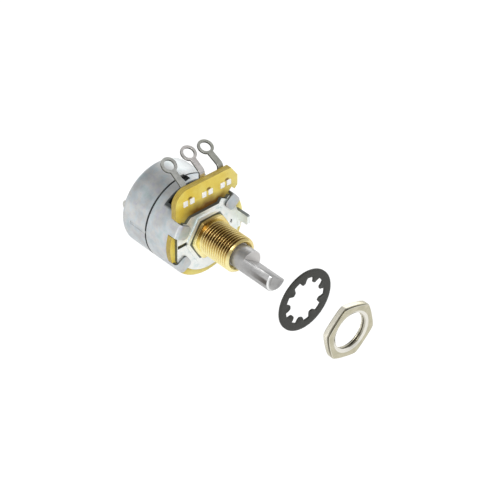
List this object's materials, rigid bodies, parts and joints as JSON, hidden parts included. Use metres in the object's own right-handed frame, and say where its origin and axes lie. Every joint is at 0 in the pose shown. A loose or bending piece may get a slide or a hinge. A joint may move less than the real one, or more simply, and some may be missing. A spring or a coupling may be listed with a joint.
{
  "type": "rotary potentiometer",
  "caption": "Panel-mount rotary potentiometer with a flatted shaft, threaded bushing, solder terminals and rear on/off switch, with its lock washer and nut.",
  "frame": {"origin": "on the shaft's axis, in the front face of the bushing's hexagonal shoulder, where the panel seats", "axes": "-Y along the shaft, out of the panel; +Z towards the three solder terminals; +X to the right seen from the shaft"},
  "size_m": [0.0238, 0.075, 0.0336],
  "materials": {
    "zinc_plate": "bright zinc plating",
    "bushing_brass": "turned brass",
    "phenolic_board": "yellow phenolic paper board",
    "carbon_print": "printed carbon",
    "silver_print": "printed silver",
    "tinned_terminal": "dull tin plating",
    "zinc_can": "dull zinc-plated drawn steel",
    "black_fibre": "black fibre sheet",
    "moulded_base": "brown phenolic moulding",
    "shaft_steel": "satin steel",
    "spring_steel": "bright spring steel",
    "dark_moulding": "dark phenolic moulding",
    "contact_bronze": "rolled phosphor bronze",
    "brown_fibre": "brown fibre",
    "black_steel": "black oxide",
    "nickel_nut": "warm nickel plating"
  },
  "bodies": {
    "housing": {"front_plate": "zinc_plate", "bushing": "bushing_brass", "element_board": "phenolic_board", "resistive_track": "carbon_print", "collector_ring": "silver_print", "terminal_left": "tinned_terminal", "terminal_centre": "tinned_terminal", "terminal_right": "tinned_terminal", "front_can": "zinc_can", "rear_can": "zinc_can", "insulating_disc": "black_fibre", "switch_base": "moulded_base", "switch_terminal_left": "tinned_terminal", "switch_terminal_right": "tinned_terminal", "rocker_pivot": "bushing_brass"},
    "rotor_group": {"shaft": "shaft_steel", "retaining_ring": "spring_steel", "rotor": "dark_moulding", "wiper": "contact_bronze", "drive_dog": "spring_steel"},
    "rocker_group": {"switch_rocker": "brown_fibre", "bridge_contact": "contact_bronze", "contact_spring": "spring_steel"},
    "washer": {"lock_washer": "black_steel"},
    "nut": {"hex_nut": "nickel_nut"}
  },
  "joints": [
    {"name": "shaft_turn", "type": "hinge", "parent": "housing", "child": "rotor_group", "pos_m": [0, 0, 0], "axis": [0, -1, 0], "range_deg": [-112.5, 187.5]},
    {"name": "switch_throw", "type": "hinge", "parent": "housing", "child": "rocker_group", "pos_m": [0, 0.015, -0.0065], "axis": [0, 1, 0], "range_deg": [-24, 0]},
    {"name": "washer_slide", "type": "slide", "parent": "housing", "child": "washer", "axis": [0, 1, 0], "range_m": [0, 0.0326]},
    {"name": "nut_slide", "type": "slide", "parent": "washer", "child": "nut", "axis": [0, 1, 0], "range_m": [0, 0.0134]}
  ]
}
